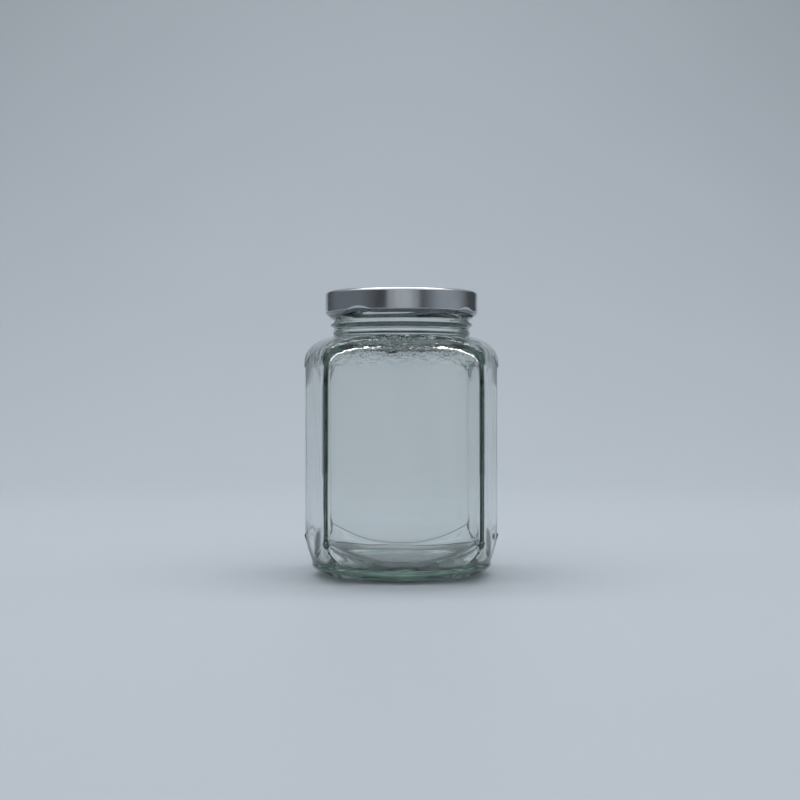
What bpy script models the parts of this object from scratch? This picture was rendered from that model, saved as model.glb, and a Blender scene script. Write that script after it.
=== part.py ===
"""A hexagonal food jar: a clear glass jar with two wide and four narrow panels, and its metal twist-off lid.

The empty jar stands on z = 0 with its axis on Z and a wide panel facing -Y. Sizes are in metres.
"""
import math
from dataclasses import dataclass

import bmesh
import bpy

MM = 0.001

# Plan of the glass body: a hexagon with its two blunt corners on the X axis
WIDTH = 83.4 * MM
DEPTH = 74.4 * MM
WIDE_PANEL = 64.8 * MM
EDGE_RADIUS = 1.5 * MM
WALL = 1.75 * MM
INNER_EDGE_RADIUS = 0.9 * MM

# Foot: a shallow hollow, a flat ring that the jar stands on and a rounded bead round it
HOLLOW_HEIGHT = 2.0 * MM
HOLLOW_POWER = 6.0
STAND_INNER_RADIUS = 28.0 * MM
STAND_OUTER_RADIUS = 29.5 * MM
BEAD_RADIUS_X = 38.9 * MM
BEAD_RADIUS_Y = 37.8 * MM
BEAD_HEIGHT = 4.7 * MM
BEAD_TOP = 5.8 * MM
BEAD_GROOVE = 0.25 * MM
BEAD_POWER = 1.55
FLOOR_HEIGHT = 5.2 * MM
FLOOR_RADIUS = 28.0 * MM
INNER_HEEL_RISE = 5.0 * MM
INNER_HEEL_POWER = 1.75

# Panels: their edges, and how deep they lie behind the heel and the shoulder
PANEL_RECESS = 0.5 * MM
RECESS_SLOPE = 0.6 * MM
HEEL_AT_CORNERS = 17.0 * MM
HEEL_WIDE_MIDDLE = 7.5 * MM
HEEL_NARROW_MIDDLE = 8.5 * MM
ARCH_AT_CORNERS = 90.0 * MM
ARCH_WIDE_MIDDLE = 98.0 * MM
ARCH_NARROW_MIDDLE = 95.0 * MM
ARCH_FLAT_SHARE = 0.79
HEEL_WIDE_POWER = 2.25
HEEL_NARROW_POWER = 1.25
HEEL_ROUND_POWER = 1.5

# Shoulder: level sections that shrink and grow rounder towards the neck
SHOULDER_WIDE_START = 95.5 * MM
SHOULDER_NARROW_START = 91.3 * MM
SHOULDER_ROUND_START = 89.0 * MM
SHOULDER_TOP = 103.0 * MM
SHOULDER_POWER = 2.3
SHOULDER_ROUND_POWER = 2.7
CROWN_RADIUS = 22.0 * MM
CROWN_HEIGHT = 103.7 * MM

# Neck, with a low ridge at its foot, a ring and a rounded lip
NECK_RADIUS = 29.3 * MM
MOUTH_RADIUS = 26.3 * MM
MOUTH_FLARE = 1.5 * MM
INNER_SHOULDER_TOP = 100.2 * MM
RIDGE_HEIGHT = 104.2 * MM
RIDGE_HALF_HEIGHT = 1.2 * MM
RIDGE_RISE = 0.5 * MM
RING_HEIGHT = 107.9 * MM
RING_HALF_HEIGHT = 1.7 * MM
RING_RISE = 1.5 * MM
LIP_TOP = 121.2 * MM
LIP_RADIUS = 1.0 * MM

# Threads: four short ones that start level and then rise to the right
THREAD_COUNT = 4
THREAD_START = math.radians(-127.0)
THREAD_SPAN = math.radians(100.0)
THREAD_RUN_IN = math.radians(14.0)
THREAD_LOW = 111.05 * MM
THREAD_LEVEL_SPAN = math.radians(31.0)
THREAD_CLIMB = 3.6 * MM
THREAD_CLIMB_SPAN = math.radians(52.6)
THREAD_CLIMB_POWER = 1.5
THREAD_HALF_HEIGHT = 1.05 * MM
THREAD_RISE = 1.6 * MM

# Lid: thin sheet with a rolled lower edge that is pressed inward at four lugs
LID_RADIUS = 33.0 * MM
LID_TOP = 122.1 * MM
LID_BOTTOM = 111.7 * MM
LID_SHEET = 0.5 * MM
LID_SHOULDER_RADIUS = 1.5 * MM
ROLL_RADIUS = 0.5 * MM
SLANT_WIDTH = 1.4 * MM
SLANT_HEIGHT = 1.6 * MM
SLANT_POWER = 1.1
STEP_RADIUS = 26.2 * MM
STEP_WIDTH = 0.8 * MM
STEP_DEPTH = 0.5 * MM
LUG_COUNT = 4
LUG_AZIMUTH = math.radians(-125.4)
LUG_HALF_SPAN = math.radians(14.0)
LUG_BEND = 1.0 * MM
LUG_PRESS = 0.35 * MM
LUG_LIFT = 0.7 * MM
PLAIN_SKIRT_HEIGHT = 118.3 * MM

# How finely the round and curved stretches are divided
NARROW_PANEL_STEPS = 6
WIDE_PANEL_STEPS = 8
CORNER_STEPS = 4
HOLLOW_STEPS = 4
BEAD_STEPS = 4
HEEL_STEPS = 5
SHOULDER_STEPS = 6
INNER_SHOULDER_STEPS = 5
INNER_HEEL_STEPS = 5
NECK_ROW = 0.6 * MM
LIP_STEPS = 2
LID_STEPS = 72
LID_SHOULDER_STEPS = 3
ROLL_STEPS = 4
SLANT_STEPS = 2
SHARP_ANGLE = math.radians(35.0)

# The narrow panel runs from the corner on the X axis to the end of the wide panel
NARROW_RUN = (WIDTH - WIDE_PANEL) / 2
NARROW_NORMAL = math.atan2(NARROW_RUN, DEPTH / 2)
NARROW_DISTANCE = WIDTH / 2 * math.cos(NARROW_NORMAL)
WIDE_DISTANCE = DEPTH / 2


@dataclass(frozen=True)
class Shoulder:
    """One face of the glass between the panels and the neck, given by its level sections."""

    wide: float
    narrow: float
    edge: float
    neck: float
    lower: float

    def reach(self, full, start, height):
        """Returns how far a panel's side of the section is from the axis."""
        climb = max(0.0, height - start) / (CROWN_HEIGHT - self.lower - start)
        return CROWN_RADIUS + (full - CROWN_RADIUS) * (1 - climb**SHOULDER_POWER) ** (1 / SHOULDER_POWER)

    def radius(self, azimuth, height):
        """Returns the distance from the axis to the section at a height, in a direction."""
        wide = self.reach(self.wide, SHOULDER_WIDE_START - self.lower, height)
        narrow = self.reach(self.narrow, SHOULDER_NARROW_START - self.lower, height)
        span = SHOULDER_TOP - SHOULDER_ROUND_START
        climb = max(0.0, height + self.lower - SHOULDER_ROUND_START) / span
        fillet = self.edge + (self.neck - self.edge) * climb**SHOULDER_ROUND_POWER
        return outline_radius(azimuth, wide, narrow, min(fillet, wide, narrow))


@dataclass(frozen=True)
class Column:
    """One vertical cut through the glass, seen from the axis."""

    azimuth: float
    panel: float
    inner: float
    bead: float
    heel: float
    top: float


OUTER_SHOULDER = Shoulder(
    wide=WIDE_DISTANCE + PANEL_RECESS,
    narrow=NARROW_DISTANCE + PANEL_RECESS,
    edge=EDGE_RADIUS,
    neck=NECK_RADIUS,
    lower=0.0,
)
INNER_SHOULDER = Shoulder(
    wide=WIDE_DISTANCE - WALL,
    narrow=NARROW_DISTANCE - WALL,
    edge=INNER_EDGE_RADIUS,
    neck=MOUTH_RADIUS + MOUTH_FLARE,
    lower=SHOULDER_TOP - INNER_SHOULDER_TOP,
)


def clear_scene():
    """Removes every object of the open scene."""
    for item in list(bpy.data.objects):
        bpy.data.objects.remove(item, do_unlink=True)


def make_material(name, colour, roughness, metallic, transmission=0.0):
    """Returns a Principled material."""
    material = bpy.data.materials.new(name)
    material.use_nodes = True
    shader = material.node_tree.nodes["Principled BSDF"]
    shader.inputs["Base Color"].default_value = (*colour, 1.0)
    shader.inputs["Roughness"].default_value = roughness
    shader.inputs["Metallic"].default_value = metallic
    shader.inputs["Transmission Weight"].default_value = transmission
    return material


def ray_to_circle(azimuth, centre_x, centre_y, radius):
    """Returns how far from the axis a ray leaves a circle that has its centre at the given place."""
    along = centre_x * math.cos(azimuth) + centre_y * math.sin(azimuth)
    across = centre_x * math.sin(azimuth) - centre_y * math.cos(azimuth)
    return along + math.sqrt(radius**2 - across**2)


def quarter_corners(wide, narrow, fillet):
    """Returns the fillet centres of one quarter's blunt and sharp corner, for panels at these distances."""
    blunt_x = (narrow - fillet) / math.cos(NARROW_NORMAL)
    sharp_y = wide - fillet
    sharp_x = (narrow - fillet - sharp_y * math.sin(NARROW_NORMAL)) / math.cos(NARROW_NORMAL)
    return blunt_x, sharp_x, sharp_y


def quarter_tangents(wide, narrow, fillet):
    """Returns the azimuths where one quarter's fillets end: blunt corner, then the sharp corner's two ends."""
    blunt_x, sharp_x, sharp_y = quarter_corners(wide, narrow, fillet)
    normal_x = fillet * math.cos(NARROW_NORMAL)
    normal_y = fillet * math.sin(NARROW_NORMAL)
    blunt_end = math.atan2(normal_y, blunt_x + normal_x)
    sharp_start = math.atan2(sharp_y + normal_y, sharp_x + normal_x)
    sharp_end = math.atan2(sharp_y + fillet, sharp_x)
    return blunt_end, sharp_start, sharp_end


def outline_radius(azimuth, wide, narrow, fillet):
    """Returns the distance from the axis to a hexagon with rounded corners, in a direction."""
    folded = math.atan2(abs(math.sin(azimuth)), abs(math.cos(azimuth)))
    blunt_x, sharp_x, sharp_y = quarter_corners(wide, narrow, fillet)
    blunt_end, sharp_start, sharp_end = quarter_tangents(wide, narrow, fillet)
    if folded < blunt_end:
        return ray_to_circle(folded, blunt_x, 0.0, fillet)
    if folded < sharp_start:
        return narrow / math.cos(folded - NARROW_NORMAL)
    if folded < sharp_end:
        return ray_to_circle(folded, sharp_x, sharp_y, fillet)
    return wide / math.sin(folded)


def panel_radius(azimuth):
    """Returns the distance from the axis to the outside of the panels, in a direction."""
    return outline_radius(azimuth, WIDE_DISTANCE, NARROW_DISTANCE, EDGE_RADIUS)


def panel_tangents():
    """Returns the azimuths where the panels' rounded edges end, in one quarter."""
    return quarter_tangents(WIDE_DISTANCE, NARROW_DISTANCE, EDGE_RADIUS)


def share_along_panel(azimuth):
    """Returns whether a direction meets a wide panel, and how far along: 0 in its middle, 1 at its edge."""
    folded = math.atan2(abs(math.sin(azimuth)), abs(math.cos(azimuth)))
    blunt_end, sharp_start, sharp_end = panel_tangents()
    if folded >= sharp_end:
        return True, math.tan(sharp_end) / math.tan(folded)
    if folded >= sharp_start or folded <= blunt_end:
        return False, 1.0
    start = NARROW_DISTANCE * math.tan(blunt_end - NARROW_NORMAL)
    end = NARROW_DISTANCE * math.tan(sharp_start - NARROW_NORMAL)
    place = NARROW_DISTANCE * math.tan(folded - NARROW_NORMAL)
    return False, abs(2 * (place - start) / (end - start) - 1)


def heel_height(azimuth):
    """Returns the height of a panel's curved lower edge."""
    wide, share = share_along_panel(azimuth)
    middle = HEEL_WIDE_MIDDLE if wide else HEEL_NARROW_MIDDLE
    power = HEEL_WIDE_POWER if wide else HEEL_NARROW_POWER
    return middle + (HEEL_AT_CORNERS - middle) * share**power


def heel_radius(azimuth, height):
    """Returns the distance from the axis to the heel, a hexagon at the panels' corners and round at the bead."""
    climb = (height - BEAD_TOP) / (HEEL_AT_CORNERS - BEAD_TOP)
    wide_start = BEAD_RADIUS_Y - BEAD_GROOVE
    narrow_start = BEAD_RADIUS_X - BEAD_GROOVE
    wide = wide_start + (WIDE_DISTANCE + PANEL_RECESS - wide_start) * climb
    narrow = narrow_start + (NARROW_DISTANCE + PANEL_RECESS - narrow_start) * climb
    fillet = EDGE_RADIUS + (narrow_start - EDGE_RADIUS) * (1 - climb) ** HEEL_ROUND_POWER
    return outline_radius(azimuth, wide, narrow, min(fillet, wide, narrow))


def arch_height(azimuth):
    """Returns the height of a panel's upper edge, flat with rounded ends on a wide panel."""
    wide, share = share_along_panel(azimuth)
    if not wide:
        return ARCH_NARROW_MIDDLE - (ARCH_NARROW_MIDDLE - ARCH_AT_CORNERS) * share**2
    turn = min(1.0, max(0.0, share - ARCH_FLAT_SHARE) / (1 - ARCH_FLAT_SHARE))
    return ARCH_AT_CORNERS + (ARCH_WIDE_MIDDLE - ARCH_AT_CORNERS) * math.sqrt(1 - turn**2)


def panel_top(azimuth):
    """Returns where a panel ends: at its arch, or lower where the shoulder's face falls behind it."""
    low = SHOULDER_ROUND_START
    high = SHOULDER_TOP
    while high - low > 0.01 * MM:
        middle = (low + high) / 2
        if OUTER_SHOULDER.radius(azimuth, middle) > panel_radius(azimuth):
            low = middle
        else:
            high = middle
    return min(low, arch_height(azimuth))


def bead_radius(azimuth):
    """Returns the foot bead's distance from the axis, a little wider at the sides than in front."""
    across = BEAD_RADIUS_Y * math.cos(azimuth)
    along = BEAD_RADIUS_X * math.sin(azimuth)
    return BEAD_RADIUS_X * BEAD_RADIUS_Y / math.hypot(across, along)


def spread(start, end, steps):
    """Returns evenly spaced values from start up to, but not including, end."""
    return [start + (end - start) * step / steps for step in range(steps)]


def wide_panel_azimuths(sharp_end):
    """Returns directions from the end of a wide panel towards its middle, close together at first."""
    half_width = 1 / math.tan(sharp_end)
    azimuths = []
    for step in range(WIDE_PANEL_STEPS):
        share = math.cos(math.pi / 2 * step / WIDE_PANEL_STEPS)
        azimuths.append(math.atan2(1.0, half_width * share))
    return azimuths


def make_columns():
    """Returns the cuts through the glass, counterclockwise from +X, closer together at the corners."""
    blunt_end, sharp_start, sharp_end = panel_tangents()
    quarter = [0.0]
    quarter += spread(blunt_end, sharp_start, NARROW_PANEL_STEPS)
    quarter += spread(sharp_start, sharp_end, CORNER_STEPS)
    quarter += wide_panel_azimuths(sharp_end)
    half = quarter + [math.pi / 2] + [math.pi - azimuth for azimuth in reversed(quarter[1:])]
    azimuths = half + [math.pi + azimuth for azimuth in half]
    return [
        Column(
            azimuth=azimuth,
            panel=panel_radius(azimuth),
            inner=outline_radius(azimuth, INNER_SHOULDER.wide, INNER_SHOULDER.narrow, INNER_SHOULDER.edge),
            bead=bead_radius(azimuth),
            heel=heel_height(azimuth),
            top=panel_top(azimuth),
        )
        for azimuth in azimuths
    ]


def power_arc(turn, power):
    """Returns (out, up) on a quarter of a rounded arc from (1, 0) to (0, 1); power 2 is a circle."""
    return max(0.0, math.cos(turn)) ** (2 / power), max(0.0, math.sin(turn)) ** (2 / power)


def foot_points(column):
    """Returns (radius, height) points from the hollow under the foot out to the top of its bead."""
    points = []
    for step in range(1, HOLLOW_STEPS + 1):
        share = math.sin(math.pi / 2 * step / HOLLOW_STEPS)
        points.append((STAND_INNER_RADIUS * share, HOLLOW_HEIGHT * (1 - share**HOLLOW_POWER)))
    points.append((STAND_OUTER_RADIUS, 0.0))
    for step in range(1, BEAD_STEPS + 1):
        out, up = power_arc(math.pi / 2 * step / BEAD_STEPS, BEAD_POWER)
        points.append((STAND_OUTER_RADIUS + (column.bead - STAND_OUTER_RADIUS) * up, BEAD_HEIGHT * (1 - out)))
    points.append((column.bead - BEAD_GROOVE, BEAD_TOP))
    return points


def body_points(column):
    """Returns points up the heel, across the recessed panel and over the shoulder to the neck."""
    points = []
    for step in range(1, HEEL_STEPS + 1):
        height = BEAD_TOP + (column.heel - BEAD_TOP) * step / HEEL_STEPS
        points.append((heel_radius(column.azimuth, height), height))
    points.append((column.panel, column.heel + RECESS_SLOPE))
    points.append((column.panel, (column.heel + column.top) / 2))
    points.append((column.panel, column.top - RECESS_SLOPE))
    for step in range(SHOULDER_STEPS + 1):
        height = column.top + (SHOULDER_TOP - column.top) * math.sin(math.pi / 2 * step / SHOULDER_STEPS)
        points.append((OUTER_SHOULDER.radius(column.azimuth, height), height))
    return points


def thread_rise(azimuth, height):
    """Returns how far a thread stands out of the neck at a place."""
    turn = (azimuth - THREAD_START) % (2 * math.pi)
    pitch = 2 * math.pi / THREAD_COUNT
    rise = 0.0
    for start in (turn % pitch, turn % pitch + pitch):
        if start > THREAD_SPAN:
            continue
        climb = max(0.0, start - THREAD_LEVEL_SPAN) / THREAD_CLIMB_SPAN
        centre = THREAD_LOW + THREAD_CLIMB * climb**THREAD_CLIMB_POWER
        run_in = min(1.0, start / THREAD_RUN_IN, (THREAD_SPAN - start) / THREAD_RUN_IN)
        offset = (height - centre) / THREAD_HALF_HEIGHT
        if abs(offset) < 1:
            rise = max(rise, THREAD_RISE * run_in * math.cos(offset * math.pi / 2))
    return rise


def hump(height, centre, half_height, rise):
    """Returns the height above the neck of a ring round it, a half wave in section."""
    offset = (height - centre) / half_height
    if abs(offset) >= 1:
        return 0.0
    return rise * (1 + math.cos(offset * math.pi)) / 2


def neck_points(azimuth):
    """Returns points up the neck, over its ring and threads, and round the outside of the lip."""
    points = []
    rows = round((LIP_TOP - LIP_RADIUS - SHOULDER_TOP) / NECK_ROW)
    for row in range(1, rows + 1):
        height = SHOULDER_TOP + (LIP_TOP - LIP_RADIUS - SHOULDER_TOP) * row / rows
        ridge = hump(height, RIDGE_HEIGHT, RIDGE_HALF_HEIGHT, RIDGE_RISE)
        ring = hump(height, RING_HEIGHT, RING_HALF_HEIGHT, RING_RISE)
        points.append((NECK_RADIUS + ridge + ring + thread_rise(azimuth, height), height))
    for step in range(1, LIP_STEPS + 1):
        out, up = power_arc(math.pi / 2 * step / LIP_STEPS, 2)
        points.append((NECK_RADIUS - LIP_RADIUS * (1 - out), LIP_TOP - LIP_RADIUS * (1 - up)))
    return points


def inner_points(column):
    """Returns points from the lip down the mouth and the walls to the floor of the jar."""
    points = []
    for step in range(LIP_STEPS + 1):
        up, out = power_arc(math.pi / 2 * step / LIP_STEPS, 2)
        points.append((MOUTH_RADIUS + LIP_RADIUS * (1 - out), LIP_TOP - LIP_RADIUS * (1 - up)))
    points.append((MOUTH_RADIUS, SHOULDER_TOP))
    high = SHOULDER_TOP - INNER_SHOULDER.lower
    low = SHOULDER_ROUND_START - INNER_SHOULDER.lower
    for step in range(INNER_SHOULDER_STEPS + 1):
        height = low + (high - low) * math.cos(math.pi / 2 * step / INNER_SHOULDER_STEPS)
        points.append((INNER_SHOULDER.radius(column.azimuth, height), height))
    for step in range(INNER_HEEL_STEPS + 1):
        out, down = power_arc(math.pi / 2 * step / INNER_HEEL_STEPS, INNER_HEEL_POWER)
        radius = FLOOR_RADIUS + (column.inner - FLOOR_RADIUS) * out
        height = FLOOR_HEIGHT + (column.heel + INNER_HEEL_RISE - FLOOR_HEIGHT) * (1 - down)
        points.append((radius, height))
    points.append((FLOOR_RADIUS / 2, FLOOR_HEIGHT))
    return points


def loft_columns(name, azimuths, profiles, start_height, end_height):
    """Returns a closed mesh whose profiles, one for each azimuth, are joined side by side.

    Each profile runs from near the axis at start_height, up the outside and down the inside, and back to
    near the axis at end_height. The two open ends are closed by fans to a point on the axis.
    """
    build = bmesh.new()
    rings = []
    for row in range(len(profiles[0])):
        ring = []
        for azimuth, profile in zip(azimuths, profiles):
            radius, height = profile[row]
            ring.append(build.verts.new((radius * math.cos(azimuth), radius * math.sin(azimuth), height)))
        rings.append(ring)
    first = build.verts.new((0.0, 0.0, start_height))
    last = build.verts.new((0.0, 0.0, end_height))
    count = len(azimuths)
    for here in range(count):
        after = (here + 1) % count
        build.faces.new((first, rings[0][after], rings[0][here]))
        build.faces.new((last, rings[-1][here], rings[-1][after]))
        for lower, upper in zip(rings, rings[1:]):
            build.faces.new((lower[here], lower[after], upper[after], upper[here]))
    bmesh.ops.recalc_face_normals(build, faces=build.faces[:])
    mesh = bpy.data.meshes.new(name)
    build.to_mesh(mesh)
    build.free()
    return mesh


def place_object(name, mesh, material, collection):
    """Returns an object of a mesh, shaded smooth but for its sharp edges."""
    mesh.materials.append(material)
    mesh.shade_smooth()
    mesh.set_sharp_from_angle(angle=SHARP_ANGLE)
    item = bpy.data.objects.new(name, mesh)
    collection.objects.link(item)
    return item


def build_jar(collection):
    """Builds the glass jar as one solid, from its foot to its threaded neck."""
    columns = make_columns()
    profiles = [
        foot_points(column) + body_points(column) + neck_points(column.azimuth) + inner_points(column)
        for column in columns
    ]
    azimuths = [column.azimuth for column in columns]
    mesh = loft_columns("glass_jar", azimuths, profiles, HOLLOW_HEIGHT, FLOOR_HEIGHT)
    glass = make_material("glass", (0.88, 0.95, 0.92), 0.03, 0.0, transmission=1.0)
    return place_object("glass_jar", mesh, glass, collection)


def lug_share(azimuth):
    """Returns how deep in a lug a direction is: 1 in its middle, 0 from its end on."""
    pitch = 2 * math.pi / LUG_COUNT
    offset = (azimuth - LUG_AZIMUTH + pitch / 2) % pitch - pitch / 2
    return max(0.0, 1 - (offset / LUG_HALF_SPAN) ** 2)


def lid_profile(azimuth):
    """Returns (radius, height) points under the lid, round its rolled edge and up over its outside."""
    share = lug_share(azimuth)
    press = LUG_PRESS * math.sqrt(share)
    corner_x = LID_RADIUS - LID_SHOULDER_RADIUS
    corner_z = LID_TOP - LID_SHOULDER_RADIUS
    roll_x = LID_RADIUS - SLANT_WIDTH - press
    roll_z = LID_BOTTOM + ROLL_RADIUS + LUG_LIFT * share
    slant_z = LID_BOTTOM + SLANT_HEIGHT + LUG_LIFT * share
    bend_z = slant_z + LUG_BEND
    inside = LID_RADIUS - LID_SHEET
    inner_corner = LID_SHOULDER_RADIUS - LID_SHEET
    points = [
        (STEP_RADIUS - STEP_WIDTH, LID_TOP - STEP_DEPTH - LID_SHEET),
        (STEP_RADIUS, LID_TOP - LID_SHEET),
    ]
    for step in range(LID_SHOULDER_STEPS, -1, -1):
        turn = math.pi / 2 * step / LID_SHOULDER_STEPS
        points.append((corner_x + inner_corner * math.cos(turn), corner_z + inner_corner * math.sin(turn)))
    points += [
        (inside, PLAIN_SKIRT_HEIGHT),
        (inside, bend_z),
        (inside - press, slant_z + LID_SHEET / 2),
    ]
    for step in range(ROLL_STEPS + 1):
        turn = math.pi / 2 + math.pi * step / ROLL_STEPS
        points.append((roll_x + ROLL_RADIUS * math.cos(turn), roll_z + ROLL_RADIUS * math.sin(turn)))
    for step in range(1, SLANT_STEPS + 1):
        down, out = power_arc(math.pi / 2 * step / SLANT_STEPS, SLANT_POWER)
        points.append((roll_x + SLANT_WIDTH * out, slant_z - SLANT_HEIGHT * down))
    points += [
        (LID_RADIUS, bend_z),
        (LID_RADIUS, PLAIN_SKIRT_HEIGHT),
    ]
    for step in range(LID_SHOULDER_STEPS + 1):
        turn = math.pi / 2 * step / LID_SHOULDER_STEPS
        radius = corner_x + LID_SHOULDER_RADIUS * math.cos(turn)
        points.append((radius, corner_z + LID_SHOULDER_RADIUS * math.sin(turn)))
    points += [(STEP_RADIUS, LID_TOP), (STEP_RADIUS - STEP_WIDTH, LID_TOP - STEP_DEPTH)]
    return points


def build_lid(collection):
    """Builds the twist-off lid as one thin solid, clear of the glass all round."""
    azimuths = spread(0.0, 2 * math.pi, LID_STEPS)
    profiles = [lid_profile(azimuth) for azimuth in azimuths]
    under = LID_TOP - STEP_DEPTH - LID_SHEET
    mesh = loft_columns("lid", azimuths, profiles, under, LID_TOP - STEP_DEPTH)
    steel = make_material("lid_metal", (0.60, 0.62, 0.64), 0.28, 1.0)
    return place_object("lid", mesh, steel, collection)


def main():
    """Builds the jar and its lid in one collection."""
    clear_scene()
    collection = bpy.data.collections.new("hexagonal_food_jar")
    bpy.context.scene.collection.children.link(collection)
    build_jar(collection)
    build_lid(collection)


main()
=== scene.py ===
"""Dresses the hexagonal food jar: clear glass with a twist-off metal lid, on a pale table in soft light."""
import logging
import math
from dataclasses import dataclass, field
from enum import Enum

import bmesh
import bpy
import numpy as np
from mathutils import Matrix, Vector


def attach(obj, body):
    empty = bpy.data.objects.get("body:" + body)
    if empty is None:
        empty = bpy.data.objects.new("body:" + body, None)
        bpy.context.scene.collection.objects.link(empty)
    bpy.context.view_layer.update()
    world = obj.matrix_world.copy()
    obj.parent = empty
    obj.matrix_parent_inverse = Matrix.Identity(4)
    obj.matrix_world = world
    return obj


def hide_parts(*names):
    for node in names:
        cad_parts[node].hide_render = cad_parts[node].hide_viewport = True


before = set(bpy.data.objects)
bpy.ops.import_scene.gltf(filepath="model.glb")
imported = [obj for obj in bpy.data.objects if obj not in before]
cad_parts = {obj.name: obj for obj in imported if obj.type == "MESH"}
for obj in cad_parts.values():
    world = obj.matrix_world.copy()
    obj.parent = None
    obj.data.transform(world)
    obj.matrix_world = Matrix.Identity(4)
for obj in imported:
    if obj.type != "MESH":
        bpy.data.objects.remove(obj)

MM = 0.001
log = logging.getLogger("food_jar")

Point = tuple[float, float]
Colour = tuple[float, float, float]


class Panel(Enum):
    """The two kinds of panel that the glass body has."""

    WIDE = "wide"
    NARROW = "narrow"


class NodeSheet:
    """Adds nodes to a material's, a world's or a Geometry Nodes tree and joins them."""

    def __init__(self, tree: bpy.types.NodeTree) -> None:
        """Takes the tree to build in.

        Args:
            tree: The node tree, emptied first.
        """
        self.tree = tree
        tree.nodes.clear()

    def add(self, kind: str, settings: dict[str, object] | None = None, **inputs: object) -> bpy.types.Node:
        """Adds a node.

        Args:
            kind: The node's type name.
            settings: The node's own settings, by name.
            **inputs: A value or an output socket for each input, by its name with underscores for spaces,
                or by its number after an underscore.

        Returns:
            The new node.
        """
        node = self.tree.nodes.new(kind)
        for name, value in (settings or {}).items():
            setattr(node, name, value)
        for name, value in inputs.items():
            key = int(name[1:]) if name[0] == "_" else name.replace("_", " ")
            socket = node.inputs[key]
            if isinstance(value, bpy.types.NodeSocket):
                self.tree.links.new(value, socket)
            else:
                socket.default_value = value
        return node

    def math(
        self, operation: str, first: object, second: object = 0.0, third: object = 0.0
    ) -> bpy.types.NodeSocket:
        """Adds a Math node and returns its output.

        Args:
            operation: The Math node's operation.
            first: The first value or socket.
            second: The second one.
            third: The third one.

        Returns:
            The node's output socket.
        """
        node = self.add("ShaderNodeMath", {"operation": operation}, _0=first, _1=second, _2=third)
        return node.outputs[0]

    def noise(
        self, place: object, scale: float, detail: float, stretch: Colour = (1.0, 1.0, 1.0)
    ) -> bpy.types.NodeSocket:
        """Adds a noise texture and returns its value.

        Args:
            place: The socket of the place to read it at.
            scale: The noise's scale, in features to a metre.
            detail: How many finer layers it has.
            stretch: How much each axis is scaled first.

        Returns:
            The noise's value, about 0.5 on average.
        """
        mapped = self.add("ShaderNodeMapping", Vector=place, Scale=stretch)
        node = self.add("ShaderNodeTexNoise", Vector=mapped.outputs[0], Scale=scale, Detail=detail)
        return node.outputs["Fac"]

    def spread(
        self, value: object, low: float, high: float, to_low: float, to_high: float
    ) -> bpy.types.NodeSocket:
        """Maps a value from one range to another, clamped.

        Args:
            value: The socket to map.
            low: The value that becomes to_low.
            high: The value that becomes to_high.
            to_low: What low becomes.
            to_high: What high becomes.

        Returns:
            The mapped value's socket.
        """
        node = self.add("ShaderNodeMapRange", _0=value, _1=low, _2=high, _3=to_low, _4=to_high)
        return node.outputs[0]

    def blend(self, share: object, first: object, second: Colour) -> bpy.types.NodeSocket:
        """Mixes two colours.

        Args:
            share: The socket that says how much of the second there is.
            first: The first colour, or the socket of it.
            second: The second colour.

        Returns:
            The mixed colour's socket.
        """
        start = first if isinstance(first, bpy.types.NodeSocket) else (*first, 1.0)
        node = self.add("ShaderNodeMix", {"data_type": "RGBA"}, _0=share, _6=start, _7=(*second, 1.0))
        return node.outputs[2]


def new_sheet(name: str) -> tuple[bpy.types.Material, NodeSheet]:
    """Starts a material.

    Args:
        name: The material's name.

    Returns:
        The material, and the sheet of its emptied node tree.
    """
    material = bpy.data.materials.new(name)
    material.use_nodes = True
    return material, NodeSheet(material.node_tree)


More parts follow.
